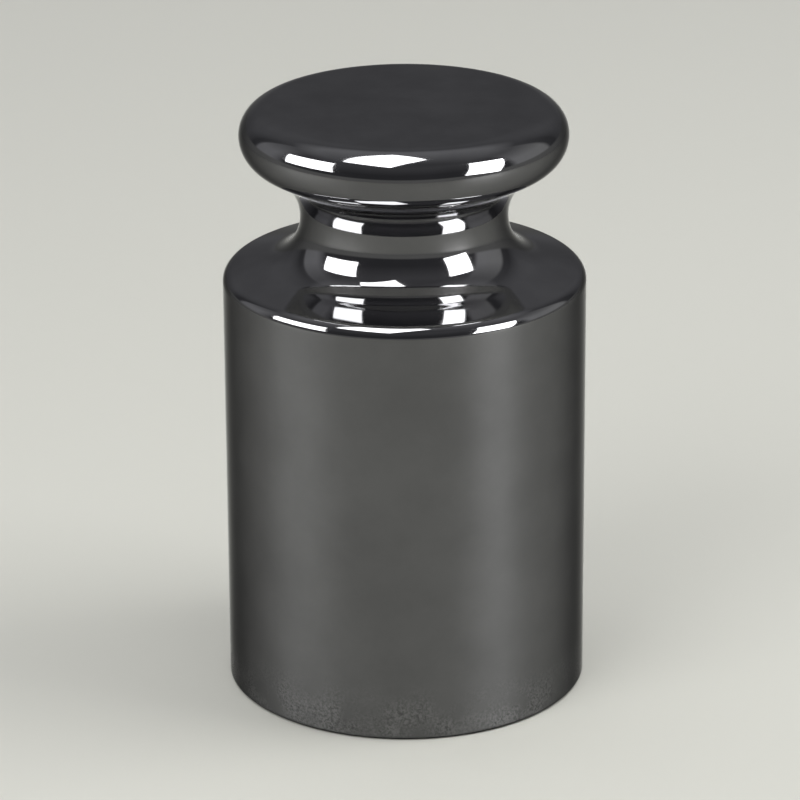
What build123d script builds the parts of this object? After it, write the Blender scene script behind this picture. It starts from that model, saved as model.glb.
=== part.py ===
"""One-kilogram calibration weight, turned from a single bar of stainless steel.

The body is a plain cylinder with a gently sloping shoulder. A waisted neck rises from the shoulder and
carries a knob with a flat top, so that the weight can be lifted by a fork or by gloved fingers. The
section is drawn in the XZ plane and turned about Z. The origin is the centre of the base, and +Z points up.
"""

from build123d import *
import math
import os

# Driving dimensions, in millimetres and degrees.
body_diameter = 48.0  # the cylindrical body
body_height = 57.4  # from the base to where the wall and the shoulder would meet
base_chamfer = 0.4  # the broken edge that the weight stands on
shoulder_edge_radius = 1.7  # the rounded edge round the top of the body
shoulder_angle = 13.0  # how steeply the shoulder rises towards the neck
neck_diameter = 27.4  # at the waist, the thinnest place
neck_foot_radius = 6.4  # the hollow that runs from the shoulder into the neck
neck_land = 0.2  # the short straight length at the waist
knob_diameter = 43.2  # across the rim
knob_under_angle = 28.5  # the slope of the knob's underside above the horizontal
underside_width = 1.99  # the straight part of the underside, measured across
knob_lower_radius = 4.3  # the lower half of the knob's rim
knob_upper_radius = 3.8  # the upper half of the knob's rim

# Places that follow from the driving dimensions.
body_radius = body_diameter / 2
neck_radius = neck_diameter / 2
knob_radius = knob_diameter / 2
shoulder_slope = math.radians(shoulder_angle)
under_slope = math.radians(knob_under_angle)
foot_outer_radius = neck_radius + neck_foot_radius * (1 - math.sin(shoulder_slope))
foot_height = body_height + (body_radius - foot_outer_radius) * math.tan(shoulder_slope)
waist_height = foot_height + neck_foot_radius * math.cos(shoulder_slope) + neck_land
under_outer_radius = knob_radius - knob_lower_radius * (1 - math.sin(under_slope))
under_inner_radius = under_outer_radius - underside_width
under_rise = underside_width * math.tan(under_slope)

# The hollow that runs out of the neck fills what the underside leaves of the knob's overhang.
neck_head_radius = (under_inner_radius - neck_radius) / (1 - math.sin(under_slope))
under_height = waist_height + neck_head_radius * math.cos(under_slope)
rim_height = under_height + under_rise + knob_lower_radius * math.cos(under_slope)
top_height = rim_height + knob_upper_radius

# The straight wall stops below the corner, where the rounded edge takes over.
shoulder_turn = 90 - shoulder_angle
wall_top = body_height - shoulder_edge_radius * math.tan(math.radians(shoulder_turn / 2))

# The half section, drawn from the centre of the base outwards and up to the centre of the top.
with BuildPart() as calibration_weight:
    with BuildSketch(Plane.XZ):
        with BuildLine():
            base = Line((0, 0), (body_radius - base_chamfer, 0))
            broken_edge = Line(base @ 1, (body_radius, base_chamfer))
            wall = Line(broken_edge @ 1, (body_radius, wall_top))
            shoulder_edge = JernArc(wall @ 1, wall % 1, shoulder_edge_radius, shoulder_turn)
            shoulder = Line(shoulder_edge @ 1, (foot_outer_radius, foot_height))
            neck_foot = JernArc(shoulder @ 1, shoulder % 1, neck_foot_radius, -shoulder_turn)
            waist = Line(neck_foot @ 1, (neck_radius, waist_height))
            neck_head = JernArc(waist @ 1, waist % 1, neck_head_radius, knob_under_angle - 90)
            underside = Line(neck_head @ 1, (under_outer_radius, under_height + under_rise))
            lower_rim = JernArc(underside @ 1, underside % 1, knob_lower_radius, 90 - knob_under_angle)
            upper_rim = JernArc(lower_rim @ 1, lower_rim % 1, knob_upper_radius, 90)
            top = Line(upper_rim @ 1, (0, top_height))
            Line(top @ 1, base @ 0)
        make_face()
    revolve(axis=Axis.Z)

calibration_weight.part.label = "calibration_weight"
os.makedirs("parts", exist_ok=True)
export_step(calibration_weight.part, "parts/calibration_weight.step")

STEEL_DENSITY = 7.95e-6  # kilograms in a cubic millimetre
print("height", round(top_height, 3), "mm, mass", round(calibration_weight.part.volume * STEEL_DENSITY, 4), "kg")
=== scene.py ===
# %% [markdown]
# # A one-kilogram calibration weight
# The weight is turned in one piece from a bar of stainless steel and polished: a plain cylinder with
# a sloping shoulder, a hollow neck for the lifting fork, and a flat-topped knob. This lesson draws it
# round the CAD solid, which is loaded first as a fixed frame. Nothing in that frame is moved.
# Its box is kept here, and its top sets the height of the knob.

# %% Load the frame
import math

import bpy
from mathutils import Matrix, Vector


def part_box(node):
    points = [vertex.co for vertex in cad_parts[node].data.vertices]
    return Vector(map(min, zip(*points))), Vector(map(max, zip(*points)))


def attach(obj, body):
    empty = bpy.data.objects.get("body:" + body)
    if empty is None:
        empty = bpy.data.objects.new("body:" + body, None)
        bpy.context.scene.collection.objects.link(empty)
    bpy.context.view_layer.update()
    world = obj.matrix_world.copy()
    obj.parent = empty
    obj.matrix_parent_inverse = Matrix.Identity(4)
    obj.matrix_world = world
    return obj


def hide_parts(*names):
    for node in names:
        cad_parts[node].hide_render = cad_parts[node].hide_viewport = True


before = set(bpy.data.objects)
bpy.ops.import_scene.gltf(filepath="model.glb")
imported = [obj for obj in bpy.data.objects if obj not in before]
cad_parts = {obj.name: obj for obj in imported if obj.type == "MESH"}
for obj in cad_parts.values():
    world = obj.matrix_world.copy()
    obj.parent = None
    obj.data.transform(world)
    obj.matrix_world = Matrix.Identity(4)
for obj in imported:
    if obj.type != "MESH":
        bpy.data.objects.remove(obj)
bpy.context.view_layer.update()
MM = 0.001
low, high = (Vector(corner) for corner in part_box("calibration_weight"))
top_height = high.z
print("solid:", round((high.x - low.x) / MM, 2), "mm across,", round(top_height / MM, 2), "mm tall")

# %% [markdown]
# ## Helpers for nodes and colours
# Every node tree below is written out with one small function: it adds a node, sets its options and
# fills its sockets, with a plain value or with the socket that feeds it. Three steps come back so
# often that they get a short name on top of it: stretching a range of values onto another, mixing two
# colours, and plain arithmetic. Colours are written as sRGB hex values, as a paint chart gives them,
# and turned to the linear values that Blender wants.

# %% Helpers
def add(tree, kind, inputs=None, **options):
    """Adds one node to the tree, with its options, and its inputs as values or as feeding sockets."""
    node = tree.nodes.new(kind)
    for option, value in options.items():
        setattr(node, option, value)
    for socket, value in (inputs or {}).items():
        if isinstance(value, bpy.types.NodeSocket):
            tree.links.new(value, node.inputs[socket])
        else:
            node.inputs[socket].default_value = value
    return node


def stretch(tree, value, low, high, to_low=0.0, to_high=1.0, kind="LINEAR"):
    """The value stretched from the range low to high onto the range to_low to to_high, and held there."""
    sockets = {"Value": value, "From Min": low, "From Max": high, "To Min": to_low, "To Max": to_high}
    return add(tree, "ShaderNodeMapRange", sockets, interpolation_type=kind).outputs["Result"]


def mix(tree, share, first, second):
    """The first colour, turning into the second as the share goes from 0 to 1."""
    return add(tree, "ShaderNodeMix", {0: share, 6: first, 7: second}, data_type="RGBA").outputs[2]


def maths(tree, operation, *values):
    """One step of arithmetic on up to three values."""
    return add(tree, "ShaderNodeMath", dict(enumerate(values)), operation=operation).outputs[0]


def srgb(hex_colour):
    """A six-digit sRGB hex colour as linear red, green, blue and an alpha of 1."""
    channels = [int(hex_colour[i:i + 2], 16) / 255 for i in (0, 2, 4)]
    return [c / 12.92 if c <= 0.04045 else ((c + 0.055) / 1.055) ** 2.4 for c in channels] + [1.0]


def new_tree(material_or_world):
    """The empty node tree of a material or a world."""
    material_or_world.use_nodes = True
    material_or_world.node_tree.nodes.clear()
    return material_or_world.node_tree


# %% [markdown]
# ## The finish: polished stainless steel
# The bar is austenitic stainless steel, turned on a lathe and then polished with fine abrasive, so
# the eye gets a nearly sharp mirror. What tells it from chrome plating is a faint haze where it has
# been handled, the last polishing lines running round it, and patches of fine scuffs by the foot,
# where the weight is set down and slid. The lighter and darker colour in those patches is a painted
# reflection of the table's grain close by, lighter more often as painted highlights. All of these
# follow real sizes, read from Object coordinates, which here are metres on the weight itself.
#
# Its colour is darkened by painted shade: where it is seen first, it is a dark grey well below
# real steel, edges included, while light that it has already mirrored once keeps the strength that
# real steel gives it.

# %% Steel material
def polished_stainless_steel():
    """Polished steel darkened by painted shade: hazy mirror, fine lines, scuffed foot with painted
    reflection.
    """
    line_spacing, haze_size, pit_size, patch_size = 0.25 * MM, 9 * MM, 0.36 * MM, 5 * MM
    scuffs_full, scuffs_gone = 0.5 * MM, 9 * MM  # heights above the base
    relief_depth = 0.02 * MM
    material = bpy.data.materials.new("polished_stainless_steel")
    tree = new_tree(material)
    place = add(tree, "ShaderNodeTexCoord").outputs["Object"]
    height = add(tree, "ShaderNodeSeparateXYZ", {0: place}).outputs["Z"]
    flat = add(tree, "ShaderNodeVectorMath", {0: place, 1: (1, 1, 0)}, operation="MULTIPLY").outputs[0]
    radius = add(tree, "ShaderNodeVectorMath", {0: flat}, operation="LENGTH").outputs["Value"]

    # Polishing lines: noise read from radius and height alone is the same all the way round. Grit of
    # about 0.02 mm leaves lines too fine to show, so they are drawn further apart.
    ring = add(tree, "ShaderNodeCombineXYZ", {"X": radius, "Y": height}).outputs[0]
    lines = add(tree, "ShaderNodeTexNoise", {"Vector": ring, "Scale": 1 / line_spacing, "Detail": 2.0},
                noise_dimensions="2D").outputs["Fac"]

    # Haze from handling: soft clouds, a little duller and a little lighter.
    haze = add(tree, "ShaderNodeTexNoise", {"Vector": place, "Scale": 1 / haze_size, "Detail": 5.0,
                                            "Roughness": 0.65}).outputs["Fac"]
    cloud = stretch(tree, haze, 0.35, 0.65)

    # Scuffs by the foot: fine pitting and rubs in patches, thick at the edge and thinning out above it.
    # Their colour is painted: a painted reflection of the table's grain, and more of it lighter than
    # darker, as painted highlights.
    pits_and_painted_grain = add(tree, "ShaderNodeTexNoise", {"Vector": place, "Scale": 1 / pit_size, "Detail": 3.0,
                                            "Roughness": 0.75}).outputs["Fac"]
    patches = add(tree, "ShaderNodeTexNoise", {"Vector": place, "Scale": 1 / patch_size,
                                               "Detail": 2.0}).outputs["Fac"]
    near_foot = stretch(tree, height, scuffs_full, scuffs_gone, 1.0, 0.0, kind="SMOOTHSTEP")
    worn = stretch(tree, patches, 0.35, 0.68)
    wear = maths(tree, "MULTIPLY", near_foot, worn)
    pit_and_painted_highlight = stretch(tree, pits_and_painted_grain, 0.35, 0.65, -1.0, 1.7)
    scuff_and_painted_reflection = maths(tree, "MULTIPLY", pit_and_painted_highlight, wear)

    # What haze and scuffs do to the mirror: haze dulls it and lightens it a little, wear dulls it
    # more, and the scuffs are painted lighter or darker than the polish round them, a painted reflection.
    dull = maths(tree, "MULTIPLY_ADD", cloud, 0.03, 0.04)
    roughness = maths(tree, "MULTIPLY_ADD", wear, 0.1, dull)
    clouded = maths(tree, "MULTIPLY_ADD", cloud, 0.16, 0.42)
    tone = maths(tree, "MULTIPLY_ADD", scuff_and_painted_reflection, 0.75, clouded)
    # Painted shade: where the steel is seen first, its colour is a dark grey far below real steel and its
    # edges are toned down, while light already mirrored once meets the real steel colour.
    again = add(tree, "ShaderNodeLightPath").outputs["Is Glossy Ray"]
    shade = mix(tree, again, mix(tree, tone, srgb("4a4a4b"), srgb("6f6f70")), srgb("d0d0d1"))
    edge_tint_with_painted_shade = mix(tree, again, srgb("a2a2a2"), srgb("ffffff"))
    relief = add(tree, "ShaderNodeBump", {"Height": lines, "Strength": 0.03,
                                          "Distance": relief_depth}).outputs[0]
    pitted = add(tree, "ShaderNodeBump", {"Height": scuff_and_painted_reflection, "Strength": 0.3, "Distance": relief_depth,
                                          "Normal": relief}).outputs[0]

    # Only a few reflections are followed. Past four, deep in the neck, the steel glows with a painted
    # reflection, the average tone of the room, instead of showing black.
    reflections = add(tree, "ShaderNodeLightPath").outputs["Glossy Depth"]
    deep = maths(tree, "GREATER_THAN", reflections, 3.5)
    shader = add(tree, "ShaderNodeBsdfPrincipled", {
        "Base Color": shade, "Metallic": 1.0, "Specular Tint": edge_tint_with_painted_shade, "Roughness": roughness,
        "Normal": pitted, "Emission Color": srgb("b0b0b4"), "Emission Strength": deep})
    add(tree, "ShaderNodeOutputMaterial", {"Surface": shader.outputs[0]})
    return material


steel = polished_stainless_steel()
print("finish:", steel.name)

# %% [markdown]
# ## The outline, as a turner's drawing
# A turned part is half of a section spun round its axis. A turner's drawing gives the sharp corners
# of that half and the radius of each corner, and that is all this list holds. The wall and the
# gently coned shoulder would meet at the body's height, and the two round edges of the knob meet at
# the rim. The straight runs get a support point close to where they meet a round, so that the
# smooth shading stays true on the flats.

# %% Corners of the outline
body_radius = 24 * MM
body_height = 57.4 * MM
neck_radius = 13.7 * MM
knob_radius = 21.6 * MM
base_chamfer, shoulder_edge = 0.4 * MM, 1.7 * MM
neck_foot, neck_head = 6.4 * MM, 7.0 * MM
knob_lower, knob_upper = 4.3 * MM, 3.8 * MM
shoulder_slope = math.radians(13)
underside_slope = math.radians(28.5)
support_gap = 0.25 * MM
steps_round, steps_in_a_corner = 320, 30
merge_distance = 0.0004 * MM

foot_corner = body_height + (body_radius - neck_radius) * math.tan(shoulder_slope)
rim_height = top_height - knob_upper
lower_corner = rim_height - knob_lower * math.tan((math.pi / 2 - underside_slope) / 2)
head_corner = lower_corner - (knob_radius - neck_radius) * math.tan(underside_slope)
corners = [  # distance from the axis, height, and radius of the corner
    (0, 0, 0),
    (body_radius - base_chamfer, 0, 0),
    (body_radius, base_chamfer, 0),
    (body_radius, body_height, shoulder_edge),
    (neck_radius, foot_corner, neck_foot),
    (neck_radius, head_corner, neck_head),
    (knob_radius, lower_corner, knob_lower),
    (knob_radius, top_height, knob_upper),
    (0, top_height, 0),
]
print("outline:", len(corners), "corners, rim at", round(rim_height / MM, 2), "mm")


# %% Support points
def used_by_corner(before, corner, after):
    """The length of each straight run that the rounding of this corner takes up."""
    here = Vector(corner[:2])
    turn = (here - Vector(before[:2])).angle(Vector(after[:2]) - here)
    return corner[2] * math.tan(turn / 2)


def with_supports(corners):
    """The corners, with a support point at each end of every straight run long enough for two."""
    used = [0.0]
    used += [used_by_corner(*corners[i - 1:i + 2]) for i in range(1, len(corners) - 1)]
    used.append(0.0)
    outline = []
    for i, corner in enumerate(corners):
        outline.append(corner)
        if i + 1 < len(corners):
            start, end = Vector(corner[:2]), Vector(corners[i + 1][:2])
            run = (end - start).length
            first, last = used[i] + support_gap, run - used[i + 1] - support_gap
            if last - first > support_gap:
                for along in (first, last):
                    outline.append((*start.lerp(end, along / run), 0))
    return outline


outline = with_supports(corners)
print("outline with supports:", len(outline), "points")

# %% [markdown]
# ## Spinning the outline with Geometry Nodes
# The shape follows a rule, so a node tree makes it: Fillet Curve rounds each corner by its own
# radius, and Curve to Mesh sweeps the outline round a ring. The ring has the body's radius, so the
# outline is drawn as distances outward from the body wall. Merging the points at the axis closes
# the two ends. The tree's sizes are named inputs, and what it makes is turned into a plain mesh.

# %% Lathe tree
def lathe_tree():
    """A node tree that rounds the corners of an outline and spins it into a closed solid of revolution."""
    tree = bpy.data.node_groups.new("lathe", "GeometryNodeTree")
    sockets = {"Outline": "NodeSocketGeometry", "Ring radius": "NodeSocketFloat",
               "Steps round": "NodeSocketInt", "Steps in a corner": "NodeSocketInt",
               "Finish": "NodeSocketMaterial"}
    for name, kind in sockets.items():
        tree.interface.new_socket(name, in_out="INPUT", socket_type=kind)
    tree.interface.new_socket("Weight", in_out="OUTPUT", socket_type="NodeSocketGeometry")
    given = add(tree, "NodeGroupInput").outputs
    radius = add(tree, "GeometryNodeInputRadius").outputs[0]
    is_corner = add(tree, "FunctionNodeCompare", {0: radius, 1: 0.0}, data_type="FLOAT",
                    operation="GREATER_THAN").outputs[0]
    steps = add(tree, "GeometryNodeSwitch", {"Switch": is_corner, "False": 1,
                                             "True": given["Steps in a corner"]}, input_type="INT").outputs[0]
    rounded = add(tree, "GeometryNodeFilletCurve", {"Curve": given["Outline"], "Count": steps,
                                                    "Radius": radius, "Limit Radius": False},
                  mode="POLY").outputs[0]
    ring = add(tree, "GeometryNodeCurvePrimitiveCircle", {"Resolution": given["Steps round"],
                                                          "Radius": given["Ring radius"]}).outputs[0]
    upright = add(tree, "GeometryNodeSetCurveNormal", {"Curve": ring}, mode="Z_UP").outputs[0]
    spun = add(tree, "GeometryNodeCurveToMesh", {"Curve": upright, "Profile Curve": rounded}).outputs[0]
    closed = add(tree, "GeometryNodeMergeByDistance", {"Geometry": spun,
                                                       "Distance": merge_distance}).outputs[0]
    smooth = add(tree, "GeometryNodeSetShadeSmooth", {"Geometry": closed}).outputs[0]
    real = add(tree, "GeometryNodeRealizeInstances", {"Geometry": smooth}).outputs[0]
    done = add(tree, "GeometryNodeSetMaterial", {"Geometry": real, "Material": given["Finish"]}).outputs[0]
    add(tree, "NodeGroupOutput", {"Weight": done})
    return tree


lathe = lathe_tree()
print("lathe tree:", len(lathe.nodes), "nodes")


# %% Spin the weight
def outline_object(points):
    """The outline as a curve object, each point carrying the radius of its corner."""
    curve = bpy.data.curves.new("weight_outline", "CURVE")
    curve.dimensions = "3D"
    spline = curve.splines.new("POLY")
    spline.points.add(len(points) - 1)
    for point, (across, up, corner_radius) in zip(spline.points, points):
        point.co = (across - body_radius, -up, 0, 1)
        point.radius = corner_radius
    piece = bpy.data.objects.new("weight_outline", curve)
    bpy.context.scene.collection.objects.link(piece)
    return piece


def spin(outline_piece, finish):
    """The plain mesh object that the lathe tree makes of the outline."""
    modifier = outline_piece.modifiers.new("lathe", "NODES")
    modifier.node_group = lathe
    values = {"Ring radius": body_radius, "Steps round": steps_round,
              "Steps in a corner": steps_in_a_corner, "Finish": finish}
    for item in lathe.interface.items_tree:
        if item.in_out == "INPUT" and item.name in values:
            modifier[item.identifier] = values[item.name]
    ready = outline_piece.evaluated_get(bpy.context.evaluated_depsgraph_get())
    mesh = bpy.data.meshes.new_from_object(ready)
    piece = bpy.data.objects.new("weight", mesh)
    bpy.context.scene.collection.objects.link(piece)
    bpy.data.objects.remove(outline_piece)
    return piece


weight = spin(outline_object(outline), steel)
print("weight:", len(weight.data.vertices), "points,", len(weight.data.polygons), "faces")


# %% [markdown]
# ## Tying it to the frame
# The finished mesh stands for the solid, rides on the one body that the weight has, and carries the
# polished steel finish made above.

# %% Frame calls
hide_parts("calibration_weight")
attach(weight, "root")
tallest = max(vertex.co.z for vertex in weight.data.vertices)
outward = sum(face.normal.dot(Vector((face.center.x, face.center.y, 0))) > 0 for face in weight.data.polygons)
print("weight is", round(tallest / MM, 2), "mm tall;", outward, "faces point away from the axis")

# %% [markdown]
# ## The table and the room round it
# The weight stands on a plain pale table top. Steel shows what is round it, so the room matters as
# much as the metal. Going round it from the front: a dark front wall, a bright wall on each side, a
# darker recess behind each of those, and a pale back wall. Higher up all walls turn to one grey, and
# the ceiling is dark in front and pale at the back. The world is that room, by bearing and height.
# Far from the weight the table fades to the colour of the horizon, so that low views see no edge.
#
# The paint is nearly matt. Its soft sheen towards the windows matters only in the steel, where it
# makes the two broad bands of light on the body, so it is kept for what the steel shows. Seen
# straight on it would burn out the pale table in any view towards a window.

# %% Room and table
horizon_colour = srgb("c2c2c0")
back_wall, back_turn = "e4e4e8", "dcdce0"
recess_edge, recess_side, recess = "c0c0c4", "a0a0a4", "808084"
left_wall, left_wall_end = "f0f0f4", "c8c8cc"
right_wall_near, right_wall = "fcfcff", "ffffff"
front_corner, front_wall = "767679", "6c6c70"
room_tones = [  # bearing in degrees, 0 at the front and positive to the right, and the tone seen there
    (-180, back_wall), (-160, back_turn),
    (-142, recess_edge), (-134, recess_side), (-129, recess), (-124, recess),
    (-121, left_wall), (-104, left_wall), (-97, left_wall_end),
    (-90, front_corner), (-40, front_wall), (40, front_wall), (78, front_corner),
    (84, right_wall_near), (117, right_wall),
    (121, recess), (129, recess), (134, recess_side), (142, recess_edge),
    (155, back_turn), (180, back_wall),
]
upper_wall, ceiling_front, ceiling_back = srgb("9a9a9e"), srgb("8c8c90"), srgb("e8e8ec")
table_fades_from, table_faded_at = 0.3, 0.9  # metres from the weight
sheen_to_the_eye, sheen_in_the_steel = 0.02, 0.3


def room_world():
    """The room as a world: tones by bearing, turning to the upper wall and the ceiling with height."""
    world = bpy.data.worlds.new("room")
    tree = new_tree(world)
    direction = add(tree, "ShaderNodeTexCoord").outputs["Generated"]
    parts = add(tree, "ShaderNodeSeparateXYZ", {0: direction}).outputs
    to_front = maths(tree, "MULTIPLY", parts["Y"], -1.0)
    bearing = maths(tree, "ARCTAN2", parts["X"], to_front)
    ramp = add(tree, "ShaderNodeValToRGB", {"Fac": stretch(tree, bearing, -math.pi, math.pi)})
    stops = ramp.color_ramp.elements
    while len(stops) < len(room_tones):
        stops.new(0.5)
    for stop, (degrees, tone) in zip(stops, room_tones):
        stop.position, stop.color = (degrees + 180) / 360, srgb(tone)
    upper = stretch(tree, parts["Z"], 0.35, 0.75, to_high=0.85)
    walls = mix(tree, upper, ramp.outputs[0], upper_wall)
    backward = stretch(tree, parts["Y"], -0.4, 0.4)
    ceiling = mix(tree, backward, ceiling_front, ceiling_back)
    overhead = stretch(tree, parts["Z"], 0.72, 0.84)
    above = stretch(tree, parts["Z"], 0.03, 0.1, kind="SMOOTHSTEP")
    colour = mix(tree, above, horizon_colour, mix(tree, overhead, walls, ceiling))
    glow = add(tree, "ShaderNodeBackground", {"Color": colour})
    add(tree, "ShaderNodeOutputWorld", {"Surface": glow.outputs[0]})
    return world


def table_top_paint():
    """Pale, nearly matt paint near the weight, fading far away to the colour of the horizon."""
    material = bpy.data.materials.new("pale_table_paint")
    tree = new_tree(material)
    place = add(tree, "ShaderNodeTexCoord").outputs["Object"]
    far = add(tree, "ShaderNodeVectorMath", {0: place}, operation="LENGTH").outputs["Value"]
    fade = stretch(tree, far, table_fades_from, table_faded_at, kind="SMOOTHSTEP")
    in_the_steel = add(tree, "ShaderNodeLightPath").outputs["Is Glossy Ray"]
    sheen = stretch(tree, in_the_steel, 0.0, 1.0, sheen_to_the_eye, sheen_in_the_steel)
    paint = add(tree, "ShaderNodeBsdfPrincipled", {"Base Color": srgb("d3d3ca"), "Roughness": 0.62,
                                                   "Specular IOR Level": sheen})
    horizon = add(tree, "ShaderNodeEmission", {"Color": horizon_colour})
    mixed = add(tree, "ShaderNodeMixShader", {0: fade, 1: paint.outputs[0], 2: horizon.outputs[0]})
    add(tree, "ShaderNodeOutputMaterial", {"Surface": mixed.outputs[0]})
    return material


bpy.context.scene.world = room_world()
bpy.ops.mesh.primitive_circle_add(vertices=96, radius=6, fill_type="NGON")  # far past the fade
table_top = bpy.context.object
table_top.name = "table_top"
table_top.data.materials.append(table_top_paint())
print("room and table ready")

# %% [markdown]
# ## Windows and ceiling panel
# Two windows and a ceiling panel light the weight. Each is there twice: a lamp that lights the
# table, and a card that only reflections see, bright enough to stay white after two of them. A card
# is laid out by the bearing and height of its corners in degrees, as they are seen from the knob;
# bearing 0 is towards the front. The right window is the brighter one.

# %% Cards
knob_centre = Vector((0, 0, rim_height))
card_distance = 1.2


def towards(bearing, elevation):
    """The direction from the knob at this bearing and elevation, in degrees."""
    bearing, elevation = math.radians(bearing), math.radians(elevation)
    level = math.cos(elevation)
    return Vector((math.sin(bearing) * level, -math.cos(bearing) * level, math.sin(elevation)))


def glow_material(name, strength):
    """A surface that gives off white light, as a bright window pane or light panel does."""
    material = bpy.data.materials.new(name)
    tree = new_tree(material)
    glow = add(tree, "ShaderNodeEmission", {"Color": srgb("ffffff"), "Strength": strength})
    add(tree, "ShaderNodeOutputMaterial", {"Surface": glow.outputs[0]})
    return material


def card(name, strength, corner_directions):
    """A white emitting card that only reflections see, its corners at these bearings and elevations."""
    mesh = bpy.data.meshes.new(name)
    points = [knob_centre + card_distance * towards(*direction) for direction in corner_directions]
    mesh.from_pydata(points, [], [range(len(points))])
    mesh.materials.append(glow_material(name, strength))
    piece = bpy.data.objects.new(name, mesh)
    piece.visible_camera = piece.visible_diffuse = piece.visible_shadow = False
    bpy.context.scene.collection.objects.link(piece)
    return piece


def lamp(name, bearing, elevation, distance, size, power):
    """A soft square lamp aimed at the knob, which lights the table and isn't itself reflected."""
    light = bpy.data.lights.new(name, "AREA")
    light.shape, light.size, light.size_y, light.energy = "RECTANGLE", size, size, power
    piece = bpy.data.objects.new(name, light)
    piece.location = knob_centre + distance * towards(bearing, elevation)
    piece.rotation_euler = (-towards(bearing, elevation)).to_track_quat("-Z", "Y").to_euler()
    piece.visible_glossy = False
    bpy.context.scene.collection.objects.link(piece)
    return piece


card("left_window", 17, [(-88, 9), (-49.5, 14), (-59, 44), (-95.5, 31)])
card("right_window", 22, [(41.5, 6), (67.5, -1), (80, 33), (55, 44)])
card("ceiling_panel", 16, [(-12, 51), (-61, 55), (-143, 75), (-172, 70), (55, 79), (23, 75)])
lamp("left_window_light", bearing=-40, elevation=38, distance=0.65, size=0.4, power=1.5)
lamp("right_window_light", bearing=84, elevation=46, distance=0.65, size=0.4, power=1.85)
lamp("ceiling_light", bearing=0, elevation=80, distance=1.2, size=1.0, power=3.5)
print("cards and lamps ready")

# %% [markdown]
# ## The camera
# The camera looks down on the weight from about 21 degrees, through a long lens, so the walls stay
# nearly parallel. It is rolled by a third of a degree, as a camera held by hand is.

# %% Camera
camera_distance, camera_height = 0.55914, 0.25761
tilt_down, roll, turn_left = 0.37314, -0.00572, 0.00124
lens = bpy.data.cameras.new("camera")
lens.lens, lens.sensor_width = 202.5, 36.0
camera = bpy.data.objects.new("camera", lens)
camera.location = (0, -camera_distance, camera_height)
tilt = Matrix.Rotation(math.pi / 2 - tilt_down, 4, "X")
aim = Matrix.Rotation(turn_left, 4, "Z") @ tilt @ Matrix.Rotation(roll, 4, "Z")
camera.rotation_euler = aim.to_euler()
bpy.context.scene.collection.objects.link(camera)
bpy.context.scene.camera = camera
bpy.context.scene.view_settings.view_transform = "Standard"
print("camera", round(math.degrees(tilt_down), 1), "degrees down")
